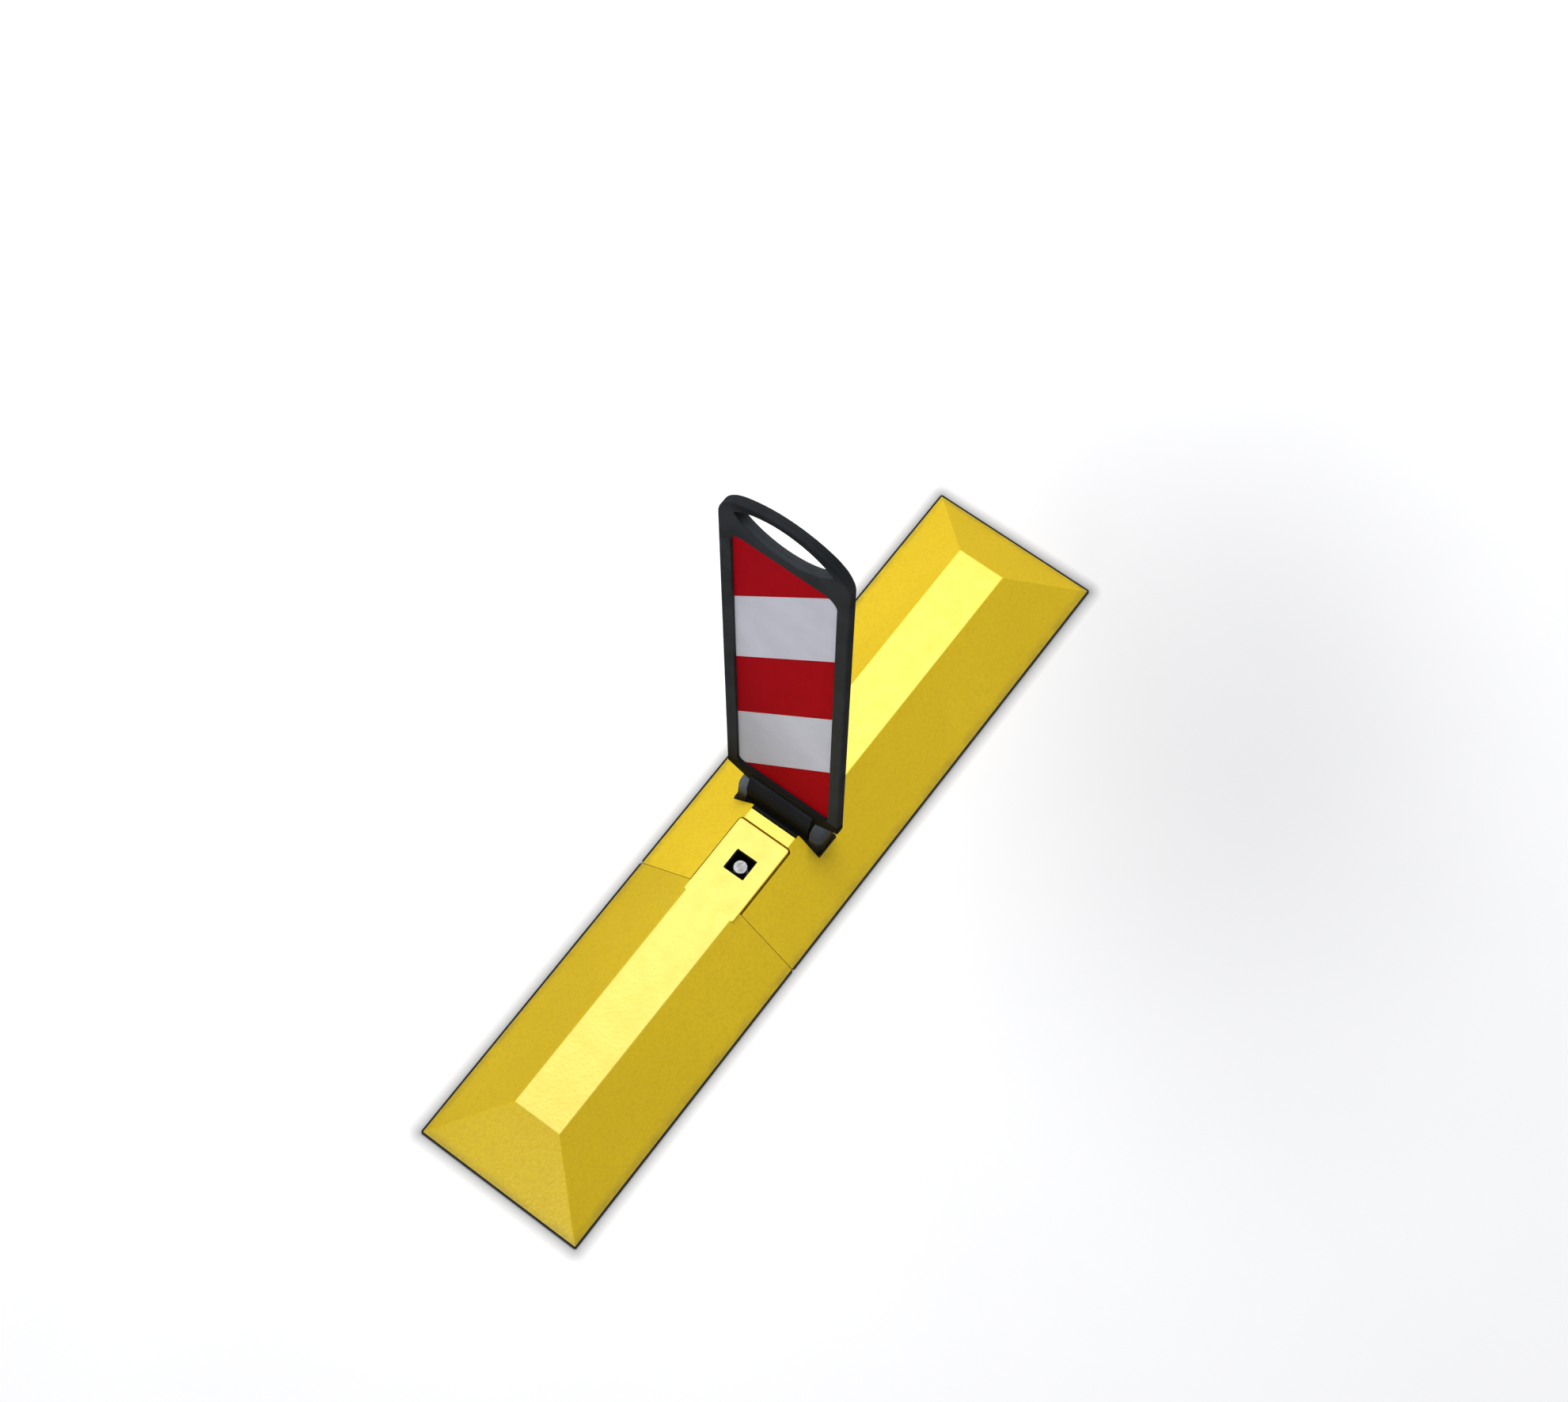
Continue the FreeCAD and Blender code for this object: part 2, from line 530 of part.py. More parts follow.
def frame_half(face_x):
    """One half of the frame, from its outer face to the middle plane."""
    x0, x1 = sorted((face_x, AXIS_X))
    half = frame_outline(x0, x1).cut(group([grip_slot(x0, x1), view_opening(x0, x1)]))
    outer = [e for e in half.Edges if on_face(e, face_x)]
    half = half.makeFillet(EDGE_ROUND, [e for e in outer if not in_view(e)])
    outer = [e for e in half.Edges if on_face(e, face_x) and in_view(e)]
    half = half.makeChamfer(VIEW_CHAMFER, outer)
    groove = view_opening(AXIS_X - CORE_THICKNESS / 2, AXIS_X + CORE_THICKNESS / 2, CORE_GROOVE)
    half_thickness = TENON_HALF_THICKNESS + TENON_GAP
    half_width = TENON_HALF_WIDTH + FIT_GAP
    mortise = block(AXIS_X - half_thickness, AXIS_X + half_thickness, -half_width, half_width,
                    0, AXIS_Z + TENON_TOP + FIT_GAP)
    screws = group(frame_screw_shapes() + foot_screw_shapes())
    return half.cut(group([groove, mortise])).cut(screws)


def countersunk(y, z, length, radius, head):
    """Countersunk screw driven from the rear face towards -X."""
    shank = lengthwise(REAR_X - length, REAR_X, y, z, radius)
    depth = head - radius
    cone = Part.makeCone(radius, head, depth, Vector(REAR_X - depth, y, z), Vector(1, 0, 0))
    return fuse([shank, cone])


def frame_screw_shapes():
    places = [(FRAME_SCREW_Y, z) for z in FRAME_SCREW_LEVELS] + [(TOP_SCREW_Y, TOP_SCREW_Z)]
    return [countersunk(side * y, z, FRAME_SCREW_LENGTH, FRAME_SCREW_RADIUS, FRAME_SCREW_HEAD)
            for y, z in places for side in (-1, 1)]


def foot_screw_shapes():
    z = AXIS_Z + FOOT_SCREW_HEIGHT
    return [countersunk(y, z, FOOT_SCREW_LENGTH, FOOT_SCREW_RADIUS, FOOT_SCREW_HEAD) for y in FOOT_SCREW_ROW]


def core_board():
    return view_opening(AXIS_X - CORE_THICKNESS / 2, AXIS_X + CORE_THICKNESS / 2, CORE_GROOVE - FIT_GAP)


def stripes(x0, first):
    """Sheeting stripes from plane x0 on; first is 0 for the red ones and 1 for the white, from the top."""
    sheet = view_opening(x0, x0 + FILM_THICKNESS, -FILM_GAP)
    reach = 2 * VIEW_HALF_WIDTH
    rise = STRIPE_SLOPE * reach
    pieces = []
    for i in range(first, STRIPE_COUNT, 2):
        top = BIG if i == 0 else FIRST_STRIPE + (1 - i) * STRIPE_PITCH
        bottom = -BIG if i == STRIPE_COUNT - 1 else FIRST_STRIPE - i * STRIPE_PITCH
        corners = [(x0, -reach, bottom + rise), (x0, reach, bottom - rise), (x0, reach, top - rise),
                   (x0, -reach, top + rise)]
        pieces.append(sheet.common(prism(corners, (FILM_THICKNESS, 0, 0))))
    return group(pieces)


# ---- the assembly -------------------------------------------------------------------------------
front_sheet = AXIS_X - CORE_THICKNESS / 2 - FILM_THICKNESS
rear_sheet = AXIS_X + CORE_THICKNESS / 2

nodes["near_sill"] = near_sill()
nodes["far_sill"] = far_sill()
nodes["near_base_mat"] = mat(-LENGTH / 2, NEAR_END)
nodes["far_base_mat"] = mat(FAR_START, LENGTH / 2)
nodes["coupling_bush"] = coupling_bush()
nodes["coupling_socket"] = coupling_socket()
nodes["coupling_pin"] = coupling_pin()
nodes["hinge_bracket"] = hinge_bracket()
nodes["bracket_screws"] = bracket_screws()
nodes["nut_plates"] = nut_plates()
nodes["hinge_bolt"] = hinge_bolt()
nodes["hinge_nut"] = hinge_nut()
nodes["disc_springs"] = disc_springs()
nodes["friction_washers"] = friction_washers()
nodes["ear_cap_left"], nodes["ear_cap_right"] = ear_caps()
nodes["hinge_foot"] = hinge_foot()
nodes["foot_bushes"] = foot_bushes()
nodes["foot_screws"] = group(foot_screw_shapes())
nodes["frame_front"] = frame_half(FRONT_X)
nodes["frame_rear"] = frame_half(REAR_X)
nodes["frame_screws"] = group(frame_screw_shapes())
nodes["core_board"] = core_board()
nodes["red_film_front"] = stripes(front_sheet, 0)
nodes["white_film_front"] = stripes(front_sheet, 1)
nodes["red_film_rear"] = stripes(rear_sheet, 0)
nodes["white_film_rear"] = stripes(rear_sheet, 1)

os.makedirs("parts", exist_ok=True)
for name, shape in nodes.items():
    print("%-18s solids %2d  valid %s" % (name, len(shape.Solids), shape.isValid()))
    shape.exportStep("parts/" + name + ".step")
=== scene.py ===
import json
import math

import bmesh
import bpy
from mathutils import Euler, Matrix, Vector

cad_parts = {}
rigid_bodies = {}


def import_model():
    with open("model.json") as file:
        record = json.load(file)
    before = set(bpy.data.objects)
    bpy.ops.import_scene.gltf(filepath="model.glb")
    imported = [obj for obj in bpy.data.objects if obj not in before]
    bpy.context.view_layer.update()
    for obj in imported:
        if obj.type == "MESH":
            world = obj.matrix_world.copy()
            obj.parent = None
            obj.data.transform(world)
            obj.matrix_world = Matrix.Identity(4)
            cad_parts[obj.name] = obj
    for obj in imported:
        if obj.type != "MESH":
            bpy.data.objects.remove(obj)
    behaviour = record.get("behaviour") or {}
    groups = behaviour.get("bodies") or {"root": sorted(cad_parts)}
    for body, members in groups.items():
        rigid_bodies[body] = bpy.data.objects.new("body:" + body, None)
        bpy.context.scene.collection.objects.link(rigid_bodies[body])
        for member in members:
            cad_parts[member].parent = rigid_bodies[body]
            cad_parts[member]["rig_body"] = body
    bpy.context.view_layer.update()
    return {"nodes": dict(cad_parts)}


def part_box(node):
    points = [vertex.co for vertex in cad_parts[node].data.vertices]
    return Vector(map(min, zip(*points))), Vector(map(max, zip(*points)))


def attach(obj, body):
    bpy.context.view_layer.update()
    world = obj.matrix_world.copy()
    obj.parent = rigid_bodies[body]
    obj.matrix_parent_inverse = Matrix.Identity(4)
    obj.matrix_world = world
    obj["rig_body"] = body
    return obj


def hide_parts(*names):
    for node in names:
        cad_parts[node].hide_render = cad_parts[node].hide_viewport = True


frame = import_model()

MM = 0.001
SHARP_ANGLE = math.radians(28)      # faces that meet at more than this show a hard edge

# ---- places read from the frame -----------------------------------------------------------------
sill_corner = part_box("far_sill")[1]
front_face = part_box("frame_front")[0].x
rear_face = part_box("frame_rear")[1].x
pin_low, pin_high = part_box("coupling_pin")
washer_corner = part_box("friction_washers")[1]

HALF_LENGTH = sill_corner.x
HALF_WIDTH = sill_corner.y
RIDGE_Z = sill_corner.z
PARTING_X = (front_face + rear_face) / 2        # where the two halves of the panel frame meet
PIN_X = (pin_low.x + pin_high.x) / 2
EAR_INNER_Y = washer_corner.y       # the outer washer faces bear on the bracket's ears

# ---- places of the shading, in metres -----------------------------------------------------------
SLOT_END_Y = 56 * MM                # just inside the tip of the hand slot's +Y end
SLOT_END_Z = 741.5 * MM
CONTACT_REACH = 18 * MM             # how far the contact shade spreads from the sill's foot
SHADOW_PATCH_CENTRE = (0.48, -0.30)        # painted shadow: a soft grey patch on the floor beside the far end
SHADOW_PATCH_HALF_LENGTH = 0.66
SHADOW_PATCH_HALF_WIDTH = 0.47
SHADOW_PATCH_TURN = math.radians(36.9)     # from X to the patch's long axis


# ---- material building --------------------------------------------------------------------------
class Look:
    """One material, with a short call for each kind of node that the looks below use."""

    def __init__(self, name, roughness, metallic=0.0, specular=0.5, specular_tint=(1.0, 1.0, 1.0)):
        self.material = bpy.data.materials.new(name)
        self.material.use_nodes = True
        self.tree = self.material.node_tree
        self.shader = self.tree.nodes["Principled BSDF"]
        self.shader.inputs["Roughness"].default_value = roughness
        self.shader.inputs["Metallic"].default_value = metallic
        self.shader.inputs["Specular IOR Level"].default_value = specular
        self.shader.inputs["Specular Tint"].default_value = (*specular_tint, 1.0)
        self.point = self.node("ShaderNodeTexCoord").outputs["Object"]

    def node(self, kind, inputs=None, **settings):
        node = self.tree.nodes.new(kind)
        for key, value in settings.items():
            setattr(node, key, value)
        for key, value in (inputs or {}).items():
            self.feed(node.inputs[key], value)
        return node

    def feed(self, socket, value):
        if isinstance(value, bpy.types.NodeSocket):
            self.tree.links.new(value, socket)
        else:
            socket.default_value = value

    def colour(self, value):
        self.feed(self.shader.inputs["Base Color"], value)

    def roughness(self, value):
        self.feed(self.shader.inputs["Roughness"], value)

    def normal(self, value):
        self.feed(self.shader.inputs["Normal"], value)

    def math(self, operation, a, b=0.0, clamp=False):
        node = self.node("ShaderNodeMath", {0: a, 1: b}, operation=operation, use_clamp=clamp)
        return node.outputs[0]

    def most(self, first, *others):
        """The greatest of the values."""
        for other in others:
            first = self.math("MAXIMUM", first, other)
        return first

    def weighed(self, a, b, a_factor, b_factor):
        """The sum of a and b, each times its factor."""
        return self.math("ADD", self.math("MULTIPLY", a, a_factor), self.math("MULTIPLY", b, b_factor))

    def length(self, a, b):
        """Length of the vector with components a and b."""
        squares = [self.math("POWER", value, 2.0) for value in (a, b)]
        return self.math("SQRT", self.math("ADD", *squares))

    def axes(self):
        node = self.node("ShaderNodeSeparateXYZ", {0: self.point})
        return node.outputs[0], node.outputs[1], node.outputs[2]

    def noise(self, scale, detail=2.0, rough=0.5, stretch=None):
        """Noise from 0 to 1; scale is in features per metre."""
        place = self.point
        if stretch:
            place = self.node("ShaderNodeMapping", {"Vector": place, "Scale": stretch}).outputs[0]
        node = self.node("ShaderNodeTexNoise", {"Vector": place, "Scale": scale, "Detail": detail,
                                                "Roughness": rough})
        return node.outputs["Fac"]

    def cells(self, scale, feature="SMOOTH_F1"):
        """Distance to the middle of the nearest cell; scale is in cells per metre."""
        settings = {"Vector": self.point, "Scale": scale}
        if feature == "SMOOTH_F1":
            settings["Smoothness"] = 0.6
        return self.node("ShaderNodeTexVoronoi", settings, feature=feature).outputs["Distance"]

    def remap(self, value, low, high, to_low=0.0, to_high=1.0):
        """Runs smoothly from to_low, where value is low, to to_high, where value is high."""
        node = self.node("ShaderNodeMapRange", {"Value": value, "From Min": low, "From Max": high,
                                                "To Min": to_low, "To Max": to_high},
                         interpolation_type="SMOOTHSTEP")
        return node.outputs["Result"]

    def mix(self, factor, a, b, blend="MIX"):
        node = self.tree.nodes.new("ShaderNodeMix")
        node.data_type = "RGBA"
        node.blend_type = blend
        self.feed(node.inputs[0], factor)
        self.feed(node.inputs[6], a)
        self.feed(node.inputs[7], b)
        return node.outputs[2]

    def times_grey(self, colour, factor):
        """Colour multiplied by a factor from 0 to 1."""
        grey = self.node("ShaderNodeCombineColor", {0: factor, 1: factor, 2: factor}).outputs[0]
        return self.mix(1.0, colour, grey, blend="MULTIPLY")

    def bump(self, height, depth, under=None):
        """Height from 0 to 1 becomes relief that is depth metres deep."""
        inputs = {"Height": height, "Distance": depth, "Strength": 1.0}
        if under is not None:
            inputs["Normal"] = under
        return self.node("ShaderNodeBump", inputs).outputs[0]

    def edges(self, radius):
        """1 along outer and inner edges, 0 on flat faces."""
        soft = self.node("ShaderNodeBevel", {"Radius": radius}, samples=6).outputs[0]
        plain = self.node("ShaderNodeNewGeometry").outputs["Normal"]
        alike = self.node("ShaderNodeVectorMath", {0: soft, 1: plain}, operation="DOT_PRODUCT")
        return self.remap(self.math("SUBTRACT", 1.0, alike.outputs["Value"]), 0.004, 0.12)

    def near_plane(self, value, at, width):
        """1 where value is at the plane, falling to 0 within width."""
        return self.remap(self.math("ABSOLUTE", self.math("SUBTRACT", value, at)), 0.0, width, 1.0, 0.0)


def rgb(r, g, b):
    return (r, g, b, 1.0)


# ---- materials ----------------------------------------------------------------------------------
def yellow_moulding(name, tone, left_slope_painted_light, glint, ridge_highlight_blue):
    """Moulded yellow plastic with a pebble grain, a painted highlight on the ridge and a little grimy at the
    foot.

    tone multiplies the colour; left_slope_painted_light multiplies that of the long slope on the +Y side,
    as painted light above 1 and painted shade below 1. glint is the blue part of the reflections and
    ridge_highlight_blue the blue of the ridge's painted highlight.
    """
    look = Look(name, roughness=0.34, specular=0.85, specular_tint=(0.93, 1.0, glint))
    x, y, z = look.axes()
    broad = look.noise(7.0, detail=3.0)
    blotch = look.noise(45.0, detail=4.0, rough=0.6)
    pebble = look.cells(260.0)
    grain = look.noise(1500.0, detail=2.0)
    base = look.mix(look.remap(broad, 0.35, 0.65), rgb(0.83 * tone, 0.585 * tone, 0.012),
                    rgb(0.79 * tone, 0.545 * tone, 0.010))
    base = look.mix(look.remap(blotch, 0.4, 0.75, 0.0, 0.25), base, rgb(0.75 * tone, 0.51 * tone, 0.012))
    base = look.mix(look.remap(pebble, 0.25, 0.85, 0.0, 0.30), base, rgb(0.63 * tone, 0.41 * tone, 0.006))
    from_side = look.math("SUBTRACT", HALF_WIDTH, y)
    from_end = look.math("SUBTRACT", HALF_LENGTH, look.math("ABSOLUTE", x))
    long_slope = look.remap(look.math("SUBTRACT", from_end, from_side), 0.0, 1 * MM)
    # painted light and shade on the +Y long slope: the factor brightens the far sill's slope and darkens the
    # near sill's
    painted_left_slope = look.math("MULTIPLY", long_slope, look.remap(y, 30 * MM, 34 * MM))
    base = look.mix(painted_left_slope, base, rgb(left_slope_painted_light, left_slope_painted_light, left_slope_painted_light), blend="MULTIPLY")
    # painted highlight: the flat ridge top is paler and bluer, standing in for the light it reflects
    ridge = look.remap(z, RIDGE_Z - 0.8 * MM, RIDGE_Z - 0.2 * MM)
    base = look.mix(ridge, base, rgb(0.86 * tone, 0.67 * tone, ridge_highlight_blue))
    foot = look.remap(z, 2 * MM, 11 * MM, 1.0, 0.0)
    grime = look.math("MULTIPLY", foot, look.remap(blotch, 0.3, 0.7, 0.1, 0.5))
    base = look.mix(grime, base, rgb(0.30, 0.22, 0.05))
    rub = look.math("MULTIPLY", look.edges(1.6 * MM), look.remap(blotch, 0.45, 0.7, 0.15, 0.7))
    base = look.mix(rub, base, rgb(0.88, 0.66, 0.06))
    look.colour(base)
    look.roughness(look.remap(blotch, 0.3, 0.8, 0.32, 0.40))
    relief = look.bump(pebble, 0.18 * MM)
    look.normal(look.bump(grain, 0.03 * MM, relief))
    return look.material


def bracket_shade(look, x, y, z):
    """Painted shade: black low down and between the ears, and the -Y ear a little darker than the other."""
    low = look.remap(z, 62 * MM, 84 * MM, 0.93, 0.0)
    between = look.remap(look.math("ABSOLUTE", y), EAR_INNER_Y - 0.9 * MM, EAR_INNER_Y - 0.3 * MM, 0.99, 0.0)
    minus_y_ear_shade = look.remap(y, -EAR_INNER_Y - 0.7 * MM, -EAR_INNER_Y + 0.3 * MM, 0.45, 0.0)
    return look.most(low, between, minus_y_ear_shade)


def foot_shade(look, x, y, z):
    """Painted shade: black low down."""
    return look.remap(z, 88 * MM, 108 * MM, 0.95, 0.0)


def frame_shade(look, x, y, z):
    """Painted shade: darker round the foot, most so towards +Y, on the bottom bar, on the arch and in the
    slot's +Y end.
    """
    low = look.remap(z, 105 * MM, 205 * MM, 0.75, 0.0)
    low = look.math("MULTIPLY", low, look.remap(y, -65 * MM, -15 * MM, 0.35, 1.0))
    bar = look.remap(z, 135 * MM, 139 * MM, 0.82, 0.0)
    arch = look.remap(z, 735 * MM, 765 * MM, 0.0, 0.46)
    from_slot_end = look.length(look.math("SUBTRACT", y, SLOT_END_Y), look.math("SUBTRACT", z, SLOT_END_Z))
    slot_end = look.remap(from_slot_end, 6 * MM, 20 * MM, 0.78, 0.0)
    off_parting = look.math("ABSOLUTE", look.math("SUBTRACT", x, PARTING_X))
    slot_wall = look.remap(off_parting, 5.0 * MM, 5.7 * MM, 1.0, 0.0)     # not the frame's outer faces
    return look.most(low, bar, arch, look.math("MULTIPLY", slot_end, slot_wall))


def charcoal_moulding(name, base, worn, roughness, specular=0.5, parting=None, shade=None):
    """Moulded plastic with a fine leather grain, rubbed edges and faint scratches.

    parting is the X of the line between two halves; shade gives the painted shade, how black each place is
    made, from 0 to 1.
    """
    look = Look(name, roughness=roughness, specular=specular)
    x, y, z = look.axes()
    cloud = look.noise(30.0, detail=4.0, rough=0.6)
    grain = look.cells(900.0)
    scratch = look.noise(60.0, detail=3.0, rough=0.7, stretch=(1.0, 0.35, 9.0))
    dark = tuple(0.72 * c for c in base)
    tint = look.mix(look.remap(cloud, 0.3, 0.7), rgb(*dark), rgb(*base))
    rub = look.math("MULTIPLY", look.edges(0.9 * MM), look.remap(cloud, 0.42, 0.62, 0.1, 0.75))
    tint = look.mix(rub, tint, rgb(*worn))
    tint = look.mix(look.remap(scratch, 0.66, 0.74, 0.0, 0.22), tint, rgb(*worn))
    relief = look.bump(grain, 0.05 * MM)
    if shade is not None:
        # painted shade: the colour is mixed towards black where shade falls
        tint = look.mix(shade(look, x, y, z), tint, rgb(0.002, 0.002, 0.0025))
    if parting is not None:
        line = look.near_plane(x, parting, 0.35 * MM)
        tint = look.mix(look.math("MULTIPLY", line, 0.6), tint, rgb(0.008, 0.008, 0.008))
        relief = look.bump(look.math("SUBTRACT", 1.0, line), 0.25 * MM, relief)
    look.colour(tint)
    look.roughness(look.remap(cloud, 0.3, 0.75, roughness - 0.07, roughness + 0.08))
    look.normal(relief)
    return look.material


def steel(name, tint, roughness, axis=None):
    """Plated steel with mottled plating; axis is the X and Y of an upright line that tool marks circle."""
    mark_pitch = 0.55 * MM
    look = Look(name, roughness=roughness, metallic=0.85)
    cloud = look.noise(120.0, detail=4.0, rough=0.65)
    fleck = look.cells(700.0, feature="F1")
    base = look.mix(look.remap(cloud, 0.3, 0.7), rgb(*tint), rgb(*[0.8 * c for c in tint]))
    base = look.mix(look.remap(fleck, 0.1, 0.5, 0.25, 0.0), base, rgb(*[min(1.0, 1.25 * c) for c in tint]))
    look.colour(base)
    look.roughness(look.remap(cloud, 0.3, 0.75, roughness - 0.08, roughness + 0.12))
    relief = look.bump(cloud, 0.04 * MM)
    if axis is not None:
        x, y, _ = look.axes()
        radius = look.length(look.math("SUBTRACT", x, axis[0]), look.math("SUBTRACT", y, axis[1]))
        turns = look.math("SINE", look.math("MULTIPLY", radius, 2 * math.pi / mark_pitch))
        relief = look.bump(look.remap(turns, -1.0, 1.0), 0.02 * MM, relief)
    look.normal(relief)
    return look.material


def sheeting(name, base, deep, roughness):
    """Retroreflective film: faint diamond seals, fine beads and light scuffs; painted shade makes it darker
    low on the +Y side.
    """
    look = Look(name, roughness=roughness, specular=0.01)
    _, y, z = look.axes()
    seal_pitch = 3.2 * MM
    seal_slope = 0.58
    lines = []
    for slope in (-seal_slope, seal_slope):
        across = look.math("DIVIDE", look.math("ADD", y, look.math("MULTIPLY", z, slope)), seal_pitch)
        wave = look.math("ABSOLUTE", look.math("SUBTRACT", look.math("FRACT", across), 0.5))
        lines.append(look.remap(wave, 0.44, 0.5))
    seams = look.most(*lines)
    cloud = look.noise(22.0, detail=4.0, rough=0.6)
    beads = look.noise(2600.0, detail=1.0)
    tint = look.mix(look.remap(cloud, 0.3, 0.72), rgb(*base), rgb(*[0.93 * c for c in base]))
    tint = look.mix(look.math("MULTIPLY", seams, 0.10), tint, rgb(*deep))
    tint = look.mix(look.remap(beads, 0.45, 0.75, 0.0, 0.10), tint, rgb(*deep))
    # painted shade: the film darkens towards the bottom and the +Y side
    rise = look.math("SUBTRACT", z, look.math("MULTIPLY", y, 2.5))
    look.colour(look.times_grey(tint, look.remap(rise, 0.08, 0.40, 0.76, 1.0)))
    scuff = look.noise(80.0, detail=3.0, rough=0.7, stretch=(1.0, 5.0, 0.6))
    look.roughness(look.remap(scuff, 0.55, 0.8, roughness, roughness + 0.2))
    relief = look.bump(seams, 0.015 * MM)
    look.normal(look.bump(beads, 0.01 * MM, relief))
    return look.material


def rubber(name, base):
    look = Look(name, roughness=0.8, specular=0.35)
    cloud = look.noise(40.0, detail=4.0)
    crumb = look.cells(600.0)
    tint = look.mix(look.remap(cloud, 0.3, 0.7), rgb(*base), rgb(*[2.0 * c for c in base]))
    look.colour(look.mix(look.remap(crumb, 0.1, 0.5, 0.3, 0.0), tint, rgb(0.05, 0.05, 0.048)))
    look.roughness(look.remap(cloud, 0.3, 0.7, 0.7, 0.9))
    look.normal(look.bump(crumb, 0.12 * MM))
    return look.material


def pale_floor():
    """Pale floor: a painted contact shade round the sill, a painted shadow patch beside its far end, and
    painted light that makes it glow, most far off.
    """
    look = Look("floor_paint", roughness=0.85, specular=0.1)
    x, y, _ = look.axes()
    outside = []
    for value, half in ((x, HALF_LENGTH), (y, HALF_WIDTH)):
        outside.append(look.math("MAXIMUM", look.math("SUBTRACT", look.math("ABSOLUTE", value), half), 0.0))
    from_sill = look.length(*outside)
    spread = look.math("DIVIDE", from_sill, CONTACT_REACH, clamp=True)
    contact = look.math("ADD", look.math("MULTIPLY", look.math("POWER", spread, 0.8), 0.75), 0.25)
    dx = look.math("SUBTRACT", x, SHADOW_PATCH_CENTRE[0])
    dy = look.math("SUBTRACT", y, SHADOW_PATCH_CENTRE[1])
    turn_cos, turn_sin = math.cos(SHADOW_PATCH_TURN), math.sin(SHADOW_PATCH_TURN)
    ahead = look.weighed(dx, dy, turn_cos / SHADOW_PATCH_HALF_LENGTH, turn_sin / SHADOW_PATCH_HALF_LENGTH)
    aside = look.weighed(dx, dy, turn_sin / SHADOW_PATCH_HALF_WIDTH, -turn_cos / SHADOW_PATCH_HALF_WIDTH)
    from_shadow_patch = look.length(aside, ahead)      # 1 on the patch's outline
    # painted shade: contact shade round the sill, and the floor darkened inside the shadow patch
    shade = look.math("MULTIPLY", contact, look.remap(from_shadow_patch, 0.1, 1.1, 0.78, 1.0))
    cloud = look.noise(3.0, detail=3.0)
    paint = look.mix(look.remap(cloud, 0.3, 0.7), rgb(0.965, 0.97, 0.98), rgb(0.95, 0.955, 0.97))
    look.colour(look.times_grey(paint, shade))
    look.shader.inputs["Emission Color"].default_value = rgb(1.0, 1.0, 1.0)
    # painted light: the floor glows, a little less inside the shadow patch and more far off
    near_glow = look.remap(from_shadow_patch, 0.9, 1.6, 0.06, 0.10)
    far_glow = look.remap(from_sill, 0.7, 4.2, 0.0, 0.60)
    look.feed(look.shader.inputs["Emission Strength"], look.math("ADD", near_glow, far_glow))
    return look.material


LOOKS = {
    "near_yellow": yellow_moulding("near_yellow", tone=0.97, left_slope_painted_light=0.92, glint=0.46, ridge_highlight_blue=0.07),
    "far_yellow": yellow_moulding("far_yellow", tone=1.0, left_slope_painted_light=1.08, glint=0.48, ridge_highlight_blue=0.024),
    "mat_rubber": rubber("mat_rubber", (0.006, 0.006, 0.006)),
    "black_plastic": charcoal_moulding("black_plastic", (0.002, 0.002, 0.002), (0.005, 0.005, 0.005), 0.6,
                                       specular=0.04),
    "zinc_steel": steel("zinc_steel", (0.62, 0.62, 0.60), 0.38),
    "pin_steel": steel("pin_steel", (0.29, 0.29, 0.30), 0.5, axis=(PIN_X, 0.0)),
    "bracket_grey": charcoal_moulding("bracket_grey", (0.122, 0.138, 0.155), (0.15, 0.165, 0.18), 0.55,
                                      specular=0.05, shade=bracket_shade),
    "spring_steel": steel("spring_steel", (0.22, 0.22, 0.25), 0.45),
    "friction_lining": charcoal_moulding("friction_lining", (0.10, 0.07, 0.045), (0.16, 0.12, 0.09), 0.8),
    "foot_plastic": charcoal_moulding("foot_plastic", (0.0165, 0.0185, 0.0225), (0.027, 0.029, 0.034), 0.6,
                                      specular=0.02, shade=foot_shade),
    "bush_plastic": charcoal_moulding("bush_plastic", (0.62, 0.60, 0.53), (0.70, 0.69, 0.63), 0.5),
    "frame_plastic": charcoal_moulding("frame_plastic", (0.034, 0.038, 0.043), (0.052, 0.057, 0.063), 0.6,
                                       specular=0.03, parting=PARTING_X, shade=frame_shade),
    "core_plastic": charcoal_moulding("core_plastic", (0.60, 0.61, 0.62), (0.66, 0.67, 0.68), 0.5),
    "red_sheeting": sheeting("red_sheeting", (0.385, 0.0012, 0.007), (0.25, 0.001, 0.004), 0.6),
    "white_sheeting": sheeting("white_sheeting", (0.576, 0.585, 0.66), (0.42, 0.42, 0.49), 0.6),
}
NODE_LOOKS = {
    "near_yellow": ["near_sill"],
    "far_yellow": ["far_sill"],
    "mat_rubber": ["near_base_mat", "far_base_mat"],
    "black_plastic": ["coupling_bush"],
    "zinc_steel": ["coupling_socket", "bracket_screws", "nut_plates", "hinge_bolt", "hinge_nut",
                   "foot_screws", "frame_screws"],
    "pin_steel": ["coupling_pin"],
    "bracket_grey": ["hinge_bracket", "ear_cap_left", "ear_cap_right"],
    "spring_steel": ["disc_springs"],
    "friction_lining": ["friction_washers"],
    "foot_plastic": ["hinge_foot"],
    "bush_plastic": ["foot_bushes"],
    "frame_plastic": ["frame_front", "frame_rear"],
    "core_plastic": ["core_board"],
    "red_sheeting": ["red_film_front", "red_film_rear"],
    "white_sheeting": ["white_film_front", "white_film_rear"],
}


